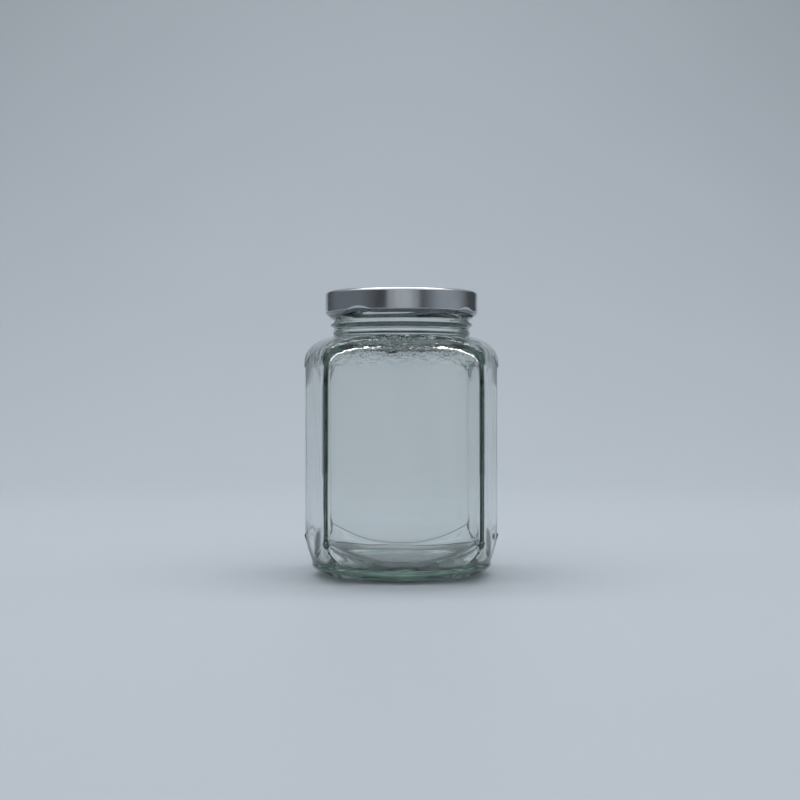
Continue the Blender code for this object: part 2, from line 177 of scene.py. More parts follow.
@dataclass(frozen=True)
class ClearGlass:
    """Pressed and blown clear glass that looks green where it is seen edge on."""

    tint: Colour = (0.93, 0.945, 0.94)
    streak_tint: Colour = (0.90, 0.925, 0.915)
    depth_colour: Colour = (0.625, 0.72, 0.685)
    depth_density: float = 55.0
    refraction: float = 1.52
    streak_scale: float = 60.0
    streak_roughness: float = 0.012
    wave_scale: float = 90.0
    wave_height: float = 0.06 * MM
    crinkle_scale: float = 260.0
    crinkle_height: float = 0.50 * MM
    crinkle_low: float = 92.0 * MM
    crinkle_high: float = 100.0 * MM
    crinkle_fade: float = 3.0 * MM
    line_low: float = 46.8 * MM
    line_high: float = 47.5 * MM
    line_step: float = 0.08 * MM
    line_front: Point = (-30.0 * MM, -34.0 * MM)
    sway_scale: float = 70.0
    sway_height: float = 5.0 * MM

    def make(self) -> bpy.types.Material:
        """Builds the material.

        Returns:
            The glass, with faint waves and streaks from the mould.
        """
        material, sheet = new_sheet("clear_green_glass")
        place = sheet.add("ShaderNodeTexCoord").outputs["Object"]
        wave = sheet.noise(place, self.wave_scale, 2.0, (1.0, 1.0, 0.6))
        streak = sheet.noise(place, self.streak_scale, 3.0, (1.0, 1.0, 0.25))
        parts = sheet.add("ShaderNodeSeparateXYZ", _0=place).outputs
        above = sheet.spread(parts["Z"], self.crinkle_low - self.crinkle_fade, self.crinkle_low, 0.0, 1.0)
        below = sheet.spread(parts["Z"], self.crinkle_high, self.crinkle_high + self.crinkle_fade, 1.0, 0.0)
        crinkle = sheet.noise(place, self.crinkle_scale, 2.0, (1.0, 1.0, 1.6))
        crinkle = sheet.math("MULTIPLY", sheet.math("MULTIPLY", above, below), crinkle)
        sway = sheet.math("MULTIPLY", sheet.noise(place, self.sway_scale, 1.0), self.sway_height)
        level = sheet.math("ADD", parts["Z"], sway)
        ledge = sheet.spread(level, self.line_low, self.line_high, 0.0, 1.0)
        front = sheet.spread(parts["Y"], *self.line_front, 0.0, 1.0)
        relief = sheet.math("MULTIPLY", wave, self.wave_height)
        relief = sheet.math("MULTIPLY_ADD", crinkle, self.crinkle_height, relief)
        relief = sheet.math("MULTIPLY_ADD", sheet.math("MULTIPLY", ledge, front), self.line_step, relief)
        bump = sheet.add("ShaderNodeBump", Height=relief, Distance=1.0, Strength=1.0)
        shader = sheet.add(
            "ShaderNodeBsdfPrincipled",
            Base_Color=sheet.blend(sheet.spread(streak, 0.45, 0.75, 0.0, 1.0), self.tint, self.streak_tint),
            Roughness=sheet.spread(streak, 0.3, 0.8, 0.0, self.streak_roughness),
            IOR=self.refraction,
            Transmission_Weight=1.0,
            Normal=bump.outputs[0],
        )
        depth = sheet.add(
            "ShaderNodeVolumeAbsorption", Color=(*self.depth_colour, 1.0), Density=self.depth_density
        )
        sheet.add("ShaderNodeOutputMaterial", Surface=shader.outputs[0], Volume=depth.outputs[0])
        return material


@dataclass(frozen=True)
class SilverTinplate:
    """Tinplate under a clear lacquer, faintly brushed round the lid and a little worn, with painted shade as
    a flat dark grey inside the lid and on its rolled edge.
    """

    colour: Colour = (0.62, 0.64, 0.67)
    dull_colour: Colour = (0.55, 0.57, 0.60)
    roughness: float = 0.16
    dull_roughness: float = 0.26
    cloud_scale: float = 70.0
    grain_scale: float = 900.0
    grain_height: float = 0.012 * MM
    # Painted shade: the flat dark grey that the lid's inside and its rolled edge get in place of the metal's
    # tone.
    painted_shade_colour: Colour = (0.20, 0.21, 0.22)
    inside_radius: float = 32.6 * MM
    inside_top: float = 121.4 * MM
    roll_top: float = 113.2 * MM

    def make(self) -> bpy.types.Material:
        """Builds the material.

        Returns:
            The lacquered metal, with painted shade inside the lid and on its rolled edge.
        """
        material, sheet = new_sheet("silver_tinplate")
        place = sheet.add("ShaderNodeTexCoord").outputs["Object"]
        cloud = sheet.noise(place, self.cloud_scale, 3.0)
        grain = sheet.noise(place, self.grain_scale, 2.0, (1.0, 1.0, 3.0))
        bump = sheet.add("ShaderNodeBump", Height=grain, Distance=self.grain_height, Strength=0.5)
        share = sheet.spread(cloud, 0.4, 0.7, 0.0, 1.0)
        parts = sheet.add("ShaderNodeSeparateXYZ", _0=place).outputs
        square = sheet.math("MULTIPLY", parts["Y"], parts["Y"])
        across = sheet.math("SQRT", sheet.math("MULTIPLY_ADD", parts["X"], parts["X"], square))
        # Painted shade: inside the lid, and everywhere below roll_top on the rolled edge, the metal's tone is
        # swapped for a flat dark grey.
        within = sheet.math("LESS_THAN", across, self.inside_radius)
        inside = sheet.math("MULTIPLY", within, sheet.math("LESS_THAN", parts["Z"], self.inside_top))
        inside = sheet.math("MAXIMUM", inside, sheet.math("LESS_THAN", parts["Z"], self.roll_top))
        tone = sheet.blend(share, self.colour, self.dull_colour)
        shader = sheet.add(
            "ShaderNodeBsdfPrincipled",
            Base_Color=sheet.blend(inside, tone, self.painted_shade_colour),
            Roughness=sheet.spread(cloud, 0.35, 0.7, self.roughness, self.dull_roughness),
            Metallic=1.0,
            Normal=bump.outputs[0],
        )
        sheet.add("ShaderNodeOutputMaterial", Surface=shader.outputs[0])
        return material


@dataclass(frozen=True)
class PaleBoard:
    """The matt pale board that the jar stands on."""

    colour: Colour = (0.52, 0.57, 0.62)
    patch_colour: Colour = (0.55, 0.60, 0.65)
    patch_scale: float = 3.0
    roughness: float = 0.55

    def make(self) -> bpy.types.Material:
        """Builds the material.

        Returns:
            The board, all but even in colour.
        """
        material, sheet = new_sheet("pale_board")
        place = sheet.add("ShaderNodeTexCoord").outputs["Object"]
        patch = sheet.noise(place, self.patch_scale, 2.0)
        shader = sheet.add(
            "ShaderNodeBsdfPrincipled",
            Base_Color=sheet.blend(patch, self.colour, self.patch_colour),
            Roughness=self.roughness,
        )
        sheet.add("ShaderNodeOutputMaterial", Surface=shader.outputs[0])
        return material


@dataclass(frozen=True)
class HexagonPlan:
    """Plan of the glass body: a long hexagon with its two blunt corners on the X axis."""

    width: float = 83.4 * MM
    depth: float = 74.4 * MM
    wide_panel: float = 64.8 * MM
    edge_radius: float = 1.5 * MM

    @property
    def narrow_normal(self) -> float:
        """Returns the azimuth of a narrow panel's normal."""
        return math.atan2((self.width - self.wide_panel) / 2, self.depth / 2)

    @property
    def narrow_distance(self) -> float:
        """Returns how far a narrow panel is from the axis."""
        return self.width / 2 * math.cos(self.narrow_normal)

    @property
    def wide_distance(self) -> float:
        """Returns how far a wide panel is from the axis."""
        return self.depth / 2

    def fillet_centres(self, wide: float, narrow: float, fillet: float) -> tuple[float, float, float]:
        """Returns where one quarter's fillets have their centres.

        Args:
            wide: Distance of the wide panel from the axis.
            narrow: Distance of the narrow panel from the axis.
            fillet: Radius of the corners.

        Returns:
            The blunt corner's x, then the sharp corner's x and y.
        """
        blunt_x = (narrow - fillet) / math.cos(self.narrow_normal)
        sharp_y = wide - fillet
        sharp_x = (narrow - fillet - sharp_y * math.sin(self.narrow_normal)) / math.cos(self.narrow_normal)
        return blunt_x, sharp_x, sharp_y

    def tangents(self, wide: float, narrow: float, fillet: float) -> tuple[float, float, float]:
        """Returns the azimuths where one quarter's fillets end.

        Args:
            wide: Distance of the wide panel from the axis.
            narrow: Distance of the narrow panel from the axis.
            fillet: Radius of the corners.

        Returns:
            The blunt corner's end, then the sharp corner's two ends.
        """
        blunt_x, sharp_x, sharp_y = self.fillet_centres(wide, narrow, fillet)
        normal_x = fillet * math.cos(self.narrow_normal)
        normal_y = fillet * math.sin(self.narrow_normal)
        blunt_end = math.atan2(normal_y, blunt_x + normal_x)
        sharp_start = math.atan2(sharp_y + normal_y, sharp_x + normal_x)
        return blunt_end, sharp_start, math.atan2(sharp_y + fillet, sharp_x)

    def radius(self, azimuth: float, wide: float, narrow: float, fillet: float) -> float:
        """Returns how far the rounded hexagon is from the axis in a direction.

        Args:
            azimuth: The direction.
            wide: Distance of the wide panel from the axis.
            narrow: Distance of the narrow panel from the axis.
            fillet: Radius of the corners.

        Returns:
            The distance.
        """
        folded = fold(azimuth)
        blunt_x, sharp_x, sharp_y = self.fillet_centres(wide, narrow, fillet)
        blunt_end, sharp_start, sharp_end = self.tangents(wide, narrow, fillet)
        if folded < blunt_end:
            return ray_to_circle(folded, (blunt_x, 0.0), fillet)
        if folded < sharp_start:
            return narrow / math.cos(folded - self.narrow_normal)
        if folded < sharp_end:
            return ray_to_circle(folded, (sharp_x, sharp_y), fillet)
        return wide / math.sin(folded)

    def panel_radius(self, azimuth: float) -> float:
        """Returns how far the outside of the panels is from the axis in a direction."""
        return self.radius(azimuth, self.wide_distance, self.narrow_distance, self.edge_radius)

    def panel_tangents(self) -> tuple[float, float, float]:
        """Returns the azimuths where the panels' rounded edges end, in one quarter."""
        return self.tangents(self.wide_distance, self.narrow_distance, self.edge_radius)


def fold(azimuth: float) -> float:
    """Returns a direction's mirror image in the first quarter."""
    return math.atan2(abs(math.sin(azimuth)), abs(math.cos(azimuth)))


def ray_to_circle(azimuth: float, centre: Point, radius: float) -> float:
    """Returns how far from the axis a ray leaves a circle.

    Args:
        azimuth: The ray's direction.
        centre: The circle's centre.
        radius: The circle's radius.

    Returns:
        The distance.
    """
    along = centre[0] * math.cos(azimuth) + centre[1] * math.sin(azimuth)
    across = centre[0] * math.sin(azimuth) - centre[1] * math.cos(azimuth)
    return along + math.sqrt(max(0.0, radius**2 - across**2))


def on_circle(centre: Point, radius: float, turn: float) -> Point:
    """Returns a place on a circle.

    Args:
        centre: The circle's centre.
        radius: The circle's radius.
        turn: The angle of the place.

    Returns:
        The place.
    """
    return centre[0] + radius * math.cos(turn), centre[1] + radius * math.sin(turn)


def ease(share: float) -> float:
    """Returns a share from 0 to 1 eased in and out."""
    share = min(1.0, max(0.0, share))
    return share * share * (3 - 2 * share)


def power_arc(turn: float, power: float) -> Point:
    """Returns (out, up) on a quarter of a rounded arc from (1, 0) to (0, 1).

    Args:
        turn: The angle, from 0 to a quarter turn.
        power: How square the arc is; 2 is a circle.

    Returns:
        The place on the arc.
    """
    return max(0.0, math.cos(turn)) ** (2 / power), max(0.0, math.sin(turn)) ** (2 / power)


@dataclass(frozen=True)
class ShoulderFace:
    """One face of the glass between the panels and the neck, given by its level sections."""

    plan: HexagonPlan
    wide: float
    narrow: float
    edge: float
    neck: float
    lower: float
    wide_start: float = 95.5 * MM
    narrow_start: float = 91.3 * MM
    round_start: float = 89.0 * MM
    top: float = 103.0 * MM
    power: float = 2.3
    round_power: float = 2.7
    crown_radius: float = 22.0 * MM
    crown_height: float = 103.7 * MM

    def reach(self, full: float, start: float, height: float) -> float:
        """Returns how far a panel's side of the section is from the axis.

        Args:
            full: The distance below the shoulder.
            start: The height where the side starts to lean in.
            height: The section's height.

        Returns:
            The distance.
        """
        climb = max(0.0, height - start) / (self.crown_height - self.lower - start)
        return self.crown_radius + (full - self.crown_radius) * (1 - climb**self.power) ** (1 / self.power)

    def radius(self, azimuth: float, height: float) -> float:
        """Returns the distance from the axis to the section at a height.

        Args:
            azimuth: The direction.
            height: The section's height.

        Returns:
            The distance.
        """
        wide = self.reach(self.wide, self.wide_start - self.lower, height)
        narrow = self.reach(self.narrow, self.narrow_start - self.lower, height)
        climb = max(0.0, height + self.lower - self.round_start) / (self.top - self.round_start)
        fillet = self.edge + (self.neck - self.edge) * climb**self.round_power
        return self.plan.radius(azimuth, wide, narrow, min(fillet, wide, narrow))


@dataclass
class GlassJar:
    """The glass jar: foot, panelled body, shoulder, and neck with ring and threads, as one closed skin."""

    plan: HexagonPlan = field(default_factory=HexagonPlan)
    wall: float = 1.75 * MM
    inner_edge_radius: float = 0.9 * MM

    hollow_height: float = 2.0 * MM
    hollow_power: float = 6.0
    stand_inner: float = 28.0 * MM
    stand_outer: float = 29.5 * MM
    bead_radius_x: float = 38.9 * MM
    bead_radius_y: float = 37.8 * MM
    bead_height: float = 4.7 * MM
    bead_top: float = 5.8 * MM
    bead_groove: float = 0.25 * MM
    bead_power: float = 1.55
    floor_height: float = 5.2 * MM
    floor_radius: float = 28.0 * MM
    inner_heel_rise: float = 2.0 * MM
    inner_heel_power: float = 1.75

    recess: float = 0.5 * MM
    recess_slope: float = 0.6 * MM
    heel_at_corners: float = 17.0 * MM
    heel_wide_middle: float = 7.5 * MM
    heel_narrow_middle: float = 8.5 * MM
    heel_wide_power: float = 2.25
    heel_narrow_power: float = 1.25
    heel_round_power: float = 1.5
    arch_at_corners: float = 90.0 * MM
    arch_wide_middle: float = 98.0 * MM
    arch_narrow_middle: float = 95.0 * MM
    arch_flat_share: float = 0.79

    shoulder_top: float = 103.0 * MM
    inner_shoulder_top: float = 100.2 * MM
    neck_radius: float = 29.3 * MM
    mouth_radius: float = 26.3 * MM
    mouth_flare: float = 1.5 * MM
    ridge_height: float = 104.2 * MM
    ridge_half_height: float = 1.2 * MM
    ridge_rise: float = 0.5 * MM
    ring_height: float = 107.9 * MM
    ring_half_height: float = 1.7 * MM
    ring_rise: float = 1.5 * MM
    lip_top: float = 121.2 * MM
    lip_radius: float = 1.0 * MM

    thread_count: int = 4
    thread_start: float = math.radians(-127.0)
    thread_span: float = math.radians(100.0)
    thread_run_in: float = math.radians(14.0)
    thread_low: float = 111.05 * MM
    thread_level_span: float = math.radians(31.0)
    thread_climb: float = 3.6 * MM
    thread_climb_span: float = math.radians(52.6)
    thread_climb_power: float = 1.5
    thread_half_height: float = 1.05 * MM
    thread_rise: float = 1.6 * MM
    thread_crest_power: float = 1.5

    wave: float = 0.02 * MM
    wave_count: int = 14
    wave_turns_below: int = 9
    wave_rise_span: Point = (20.0, 260.0)
    wave_fade: float = 6.0 * MM
    wave_seed: int = 7

    blunt_steps: int = 2
    narrow_steps: int = 22
    corner_steps: int = 8
    wide_steps: int = 22
    hollow_steps: int = 12
    bead_steps: int = 10
    groove_steps: int = 5
    heel_steps: int = 12
    ledge_steps: int = 6
    panel_rows: int = 7
    shoulder_steps: int = 22
    lip_steps: int = 6
    mouth_rows: int = 11
    flare_rows: int = 5
    inner_shoulder_steps: int = 18
    wall_rows: int = 14
    inner_heel_steps: int = 14
    floor_rings: int = 7
    neck_row: float = 0.22 * MM
    search_step: float = 0.01 * MM

    def __post_init__(self) -> None:
        """Prepares both faces of the shoulder and the waves of the blown inside."""
        plan = self.plan
        self.outer_shoulder = ShoulderFace(
            plan=plan,
            wide=plan.wide_distance + self.recess,
            narrow=plan.narrow_distance + self.recess,
            edge=plan.edge_radius,
            neck=self.neck_radius,
            lower=0.0,
        )
        self.inner_shoulder = ShoulderFace(
            plan=plan,
            wide=plan.wide_distance - self.wall,
            narrow=plan.narrow_distance - self.wall,
            edge=self.inner_edge_radius,
            neck=self.mouth_radius + self.mouth_flare,
            lower=self.shoulder_top - self.inner_shoulder_top,
        )
        draw = np.random.default_rng(self.wave_seed)
        self.wave_turns = draw.integers(1, self.wave_turns_below, self.wave_count)
        self.wave_rises = draw.uniform(*self.wave_rise_span, self.wave_count)
        self.wave_phases = draw.uniform(0.0, 2 * math.pi, self.wave_count)

    def share_along_panel(self, azimuth: float) -> tuple[Panel, float]:
        """Returns which kind of panel a direction meets, and where.

        Args:
            azimuth: The direction.

        Returns:
            The kind of panel, and how far along it the direction is: 0 in its middle, 1 at its edge.
        """
        folded = fold(azimuth)
        blunt_end, sharp_start, sharp_end = self.plan.panel_tangents()
        if folded >= sharp_end:
            return Panel.WIDE, math.tan(sharp_end) / math.tan(folded)
        if folded >= sharp_start or folded <= blunt_end:
            return Panel.NARROW, 1.0
        start = math.tan(blunt_end - self.plan.narrow_normal)
        end = math.tan(sharp_start - self.plan.narrow_normal)
        place = math.tan(folded - self.plan.narrow_normal)
        return Panel.NARROW, abs(2 * (place - start) / (end - start) - 1)

    def heel_height(self, azimuth: float) -> float:
        """Returns the height of a panel's curved lower edge.

        Args:
            azimuth: The direction.

        Returns:
            The height.
        """
        kind, share = self.share_along_panel(azimuth)
        middle = self.heel_wide_middle if kind is Panel.WIDE else self.heel_narrow_middle
        power = self.heel_wide_power if kind is Panel.WIDE else self.heel_narrow_power
        return middle + (self.heel_at_corners - middle) * share**power

    def heel_radius(self, azimuth: float, height: float) -> float:
        """Returns the distance from the axis to the heel, six-sided at its top and round at the bead.

        Args:
            azimuth: The direction.
            height: The height.

        Returns:
            The distance.
        """
        plan = self.plan
        climb = (height - self.bead_top) / (self.heel_at_corners - self.bead_top)
        wide_start = self.bead_radius_y - self.bead_groove
        narrow_start = self.bead_radius_x - self.bead_groove
        wide = wide_start + (plan.wide_distance + self.recess - wide_start) * climb
        narrow = narrow_start + (plan.narrow_distance + self.recess - narrow_start) * climb
        fillet = plan.edge_radius + (narrow_start - plan.edge_radius) * (1 - climb) ** self.heel_round_power
        return plan.radius(azimuth, wide, narrow, min(fillet, wide, narrow))

    def arch_height(self, azimuth: float) -> float:
        """Returns the height of a panel's upper edge.

        Args:
            azimuth: The direction.

        Returns:
            The height.
        """
        kind, share = self.share_along_panel(azimuth)
        if kind is Panel.NARROW:
            return self.arch_narrow_middle - (self.arch_narrow_middle - self.arch_at_corners) * share**2
        turn = min(1.0, max(0.0, share - self.arch_flat_share) / (1 - self.arch_flat_share))
        return self.arch_at_corners + (self.arch_wide_middle - self.arch_at_corners) * math.sqrt(1 - turn**2)

    def panel_top(self, azimuth: float) -> float:
        """Returns where a panel ends: at its arch, or lower where the shoulder's face falls behind it.

        Args:
            azimuth: The direction.

        Returns:
            The height.
        """
        low = self.outer_shoulder.round_start
        high = self.shoulder_top
        while high - low > self.search_step:
            middle = (low + high) / 2
            if self.outer_shoulder.radius(azimuth, middle) > self.plan.panel_radius(azimuth):
                low = middle
            else:
                high = middle
        return min(low, self.arch_height(azimuth))

    def bead_radius(self, azimuth: float) -> float:
        """Returns the foot bead's distance from the axis.

        Args:
            azimuth: The direction.

        Returns:
            The distance.
        """
        across = self.bead_radius_y * math.cos(azimuth)
        along = self.bead_radius_x * math.sin(azimuth)
        return self.bead_radius_x * self.bead_radius_y / math.hypot(across, along)

    def azimuths(self) -> list[float]:
        """Works out the directions of the columns, closer together at the corners.

        Returns:
            The azimuths, once round from the X axis.
        """
        blunt_end, sharp_start, sharp_end = self.plan.panel_tangents()
        quarter = list(np.linspace(0.0, blunt_end, self.blunt_steps + 1)[:-1])
        quarter += list(np.linspace(blunt_end, sharp_start, self.narrow_steps + 1)[:-1])
        quarter += list(np.linspace(sharp_start, sharp_end, self.corner_steps + 1)[:-1])
        half_width = 1 / math.tan(sharp_end)
        for step in range(self.wide_steps):
            share = math.cos(math.pi / 2 * step / self.wide_steps)
            quarter.append(math.atan2(1.0, half_width * share))
        half = quarter + [math.pi / 2] + [math.pi - azimuth for azimuth in reversed(quarter[1:])]
        return half + [math.pi + azimuth for azimuth in half]

    def foot_points(self, azimuth: float) -> list[Point]:
        """Returns points from the hollow under the foot out to the top of its bead.

        Args:
            azimuth: The direction of the column.

        Returns:
            The points, as distance from the axis and height.
        """
        points = []
        for step in range(1, self.hollow_steps + 1):
            share = math.sin(math.pi / 2 * step / self.hollow_steps)
            points.append((self.stand_inner * share, self.hollow_height * (1 - share**self.hollow_power)))
        points.append((self.stand_outer, 0.0))
        bead = self.bead_radius(azimuth)
        for step in range(1, self.bead_steps + 1):
            out, up = power_arc(math.pi / 2 * step / self.bead_steps, self.bead_power)
            points.append((self.stand_outer + (bead - self.stand_outer) * up, self.bead_height * (1 - out)))
        for step in range(1, self.groove_steps + 1):
            share = step / self.groove_steps
            height = self.bead_height + (self.bead_top - self.bead_height) * share
            points.append((bead - self.bead_groove * ease(share), height))
        return points

    def body_points(self, azimuth: float) -> list[Point]:
        """Returns points up the heel, across the recessed panel and over the shoulder to the neck.

        Args:
            azimuth: The direction of the column.

        Returns:
            The points, as distance from the axis and height.
        """
        panel = self.plan.panel_radius(azimuth)
        heel = self.heel_height(azimuth)
        top = self.panel_top(azimuth)
        points = []
        for step in range(1, self.heel_steps + 1):
            height = self.bead_top + (heel - self.bead_top) * step / self.heel_steps
            points.append((self.heel_radius(azimuth, height), height))
        proud = points[-1][0]
        for step in range(1, self.ledge_steps + 1):
            share = step / self.ledge_steps
            points.append((proud + (panel - proud) * ease(share), heel + self.recess_slope * share))
        low, high = heel + self.recess_slope, top - self.recess_slope
        for step in range(1, self.panel_rows):
            points.append((panel, low + (high - low) * step / self.panel_rows))
        edge = self.outer_shoulder.radius(azimuth, top)
        for step in range(self.ledge_steps + 1):
            share = step / self.ledge_steps
            points.append((panel + (edge - panel) * ease(share), high + self.recess_slope * share))
        for step in range(1, self.shoulder_steps + 1):
            turn = math.pi / 2 * step / self.shoulder_steps
            height = top + (self.shoulder_top - top) * math.sin(turn)
            points.append((self.outer_shoulder.radius(azimuth, height), height))
        return points

    def thread_out(self, azimuth: float, height: float) -> float:
        """Returns how far a thread stands out of the neck at a place.

        Args:
            azimuth: The direction.
            height: The height.

        Returns:
            The distance.
        """
        turn = (azimuth - self.thread_start) % (2 * math.pi)
        pitch = 2 * math.pi / self.thread_count
        rise = 0.0
        for start in (turn % pitch, turn % pitch + pitch):
            if start > self.thread_span:
                continue
            climb = max(0.0, start - self.thread_level_span) / self.thread_climb_span
            centre = self.thread_low + self.thread_climb * climb**self.thread_climb_power
            run_in = ease(min(start, self.thread_span - start) / self.thread_run_in)
            offset = (height - centre) / self.thread_half_height
            if abs(offset) < 1:
                crest = math.cos(offset * math.pi / 2) ** self.thread_crest_power
                rise = max(rise, self.thread_rise * run_in * crest)
        return rise

    def neck_points(self, azimuth: float) -> list[Point]:
        """Returns points up the neck, over its ring and threads, and round the outside of the lip.

        Args:
            azimuth: The direction of the column.

        Returns:
            The points, as distance from the axis and height.
        """
        top = self.lip_top - self.lip_radius
        rows = round((top - self.shoulder_top) / self.neck_row)
        points = []
        for row in range(1, rows + 1):
            height = self.shoulder_top + (top - self.shoulder_top) * row / rows
            out = self.thread_out(azimuth, height)
            for centre, half, rise in (
                (self.ridge_height, self.ridge_half_height, self.ridge_rise),
                (self.ring_height, self.ring_half_height, self.ring_rise),
            ):
                offset = (height - centre) / half
                if abs(offset) < 1:
                    out += rise * (1 + math.cos(offset * math.pi)) / 2
            points.append((self.neck_radius + out, height))
        for step in range(1, self.lip_steps + 1):
            out, up = power_arc(math.pi / 2 * step / self.lip_steps, 2)
            points.append((self.neck_radius - self.lip_radius * (1 - out), top + self.lip_radius * up))
        return points

    def inner_points(self, azimuth: float) -> list[Point]:
        """Returns points from the lip down the mouth and the walls to the floor of the jar.

        Args:
            azimuth: The direction of the column.

        Returns:
            The points, as distance from the axis and height.
        """
        points = []
        top = self.lip_top - self.lip_radius
        for step in range(self.lip_steps + 1):
            up, out = power_arc(math.pi / 2 * step / self.lip_steps, 2)
            points.append((self.mouth_radius + self.lip_radius * (1 - out), top + self.lip_radius * up))
        for step in range(1, self.mouth_rows + 1):
            points.append((self.mouth_radius, top + (self.shoulder_top - top) * step / self.mouth_rows))
        for step in range(1, self.flare_rows):
            share = step / self.flare_rows
            height = self.shoulder_top + (self.inner_shoulder_top - self.shoulder_top) * share
            points.append((self.mouth_radius + self.mouth_flare * share**2, height))
        high = self.inner_shoulder_top
        low = self.outer_shoulder.round_start - self.inner_shoulder.lower
        for step in range(self.inner_shoulder_steps + 1):
            height = low + (high - low) * math.cos(math.pi / 2 * step / self.inner_shoulder_steps)
            points.append((self.inner_shoulder.radius(azimuth, height), height))
        heel = self.heel_height(azimuth) + self.inner_heel_rise
        for step in range(1, self.wall_rows):
            points.append((points[-1][0], low + (heel - low) * step / self.wall_rows))
        wall = points[-1][0]
        for step in range(self.inner_heel_steps + 1):
            out, down = power_arc(math.pi / 2 * step / self.inner_heel_steps, self.inner_heel_power)
            radius = self.floor_radius + (wall - self.floor_radius) * out
            points.append((radius, self.floor_height + (heel - self.floor_height) * (1 - down)))
        for step in range(1, self.floor_rings):
            points.append((self.floor_radius * (1 - step / self.floor_rings), self.floor_height))
        return points

    def waviness(self, azimuth: float, height: float) -> float:
        """Returns how far the blown inside strays from its true place, from -1 to 1.

        Args:
            azimuth: The direction.
            height: The height.

        Returns:
            The share of the wave's height.
        """
        angles = self.wave_turns * azimuth + self.wave_rises * height + self.wave_phases
        return float(np.sin(angles).sum() / math.sqrt(self.wave_count))

    def skin(self) -> bpy.types.Mesh:
        """Builds the closed skin of the glass.

        Returns:
            The mesh, with its normals out.
        """
        azimuths = self.azimuths()
        build = bmesh.new()
        rows: list[list[bmesh.types.BMVert]] = []
        profiles = []
        for azimuth in azimuths:
            outside = self.foot_points(azimuth) + self.body_points(azimuth) + self.neck_points(azimuth)
            inside = []
            for radius, height in self.inner_points(azimuth):
                fade = ease((self.shoulder_top - height) / self.wave_fade) * ease(radius / self.floor_radius)
                stray = self.wave * fade * self.waviness(azimuth, height)
                inside.append((radius - stray, height))
            profiles.append(outside + inside)
        for row in range(len(profiles[0])):
            ring = []
            for azimuth, profile in zip(azimuths, profiles):
                radius, height = profile[row]
                ring.append(build.verts.new((radius * math.cos(azimuth), radius * math.sin(azimuth), height)))
            rows.append(ring)
        first = build.verts.new((0.0, 0.0, self.hollow_height))
        last = build.verts.new((0.0, 0.0, self.floor_height))
        count = len(azimuths)
        for here in range(count):
            after = (here + 1) % count
            build.faces.new((first, rows[0][after], rows[0][here]))
            build.faces.new((last, rows[-1][here], rows[-1][after]))
            for lower, upper in zip(rows, rows[1:]):
                build.faces.new((lower[here], lower[after], upper[after], upper[here]))
        bmesh.ops.recalc_face_normals(build, faces=build.faces[:])
        mesh = bpy.data.meshes.new("glass_jar_skin")
        build.to_mesh(mesh)
        build.free()
        mesh.shade_smooth()
        return mesh

    def build(self) -> bpy.types.Object:
        """Builds the jar and dresses it.

        Returns:
            The finished object.
        """
        mesh = self.skin()
        mesh.materials.append(ClearGlass().make())
        return adopt("clear_glass_jar", mesh, "glass_jar")


def adopt(name: str, mesh: bpy.types.Mesh, node: str) -> bpy.types.Object:
    """Puts a mesh in the scene in the place of a solid.

    Args:
        name: The new object's name.
        mesh: Its mesh.
        node: The solid that it is shown instead of.

    Returns:
        The object.
    """
    item = bpy.data.objects.new(name, mesh)
    bpy.context.scene.collection.objects.link(item)
    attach(item, "root")
    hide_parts(node)
    return item


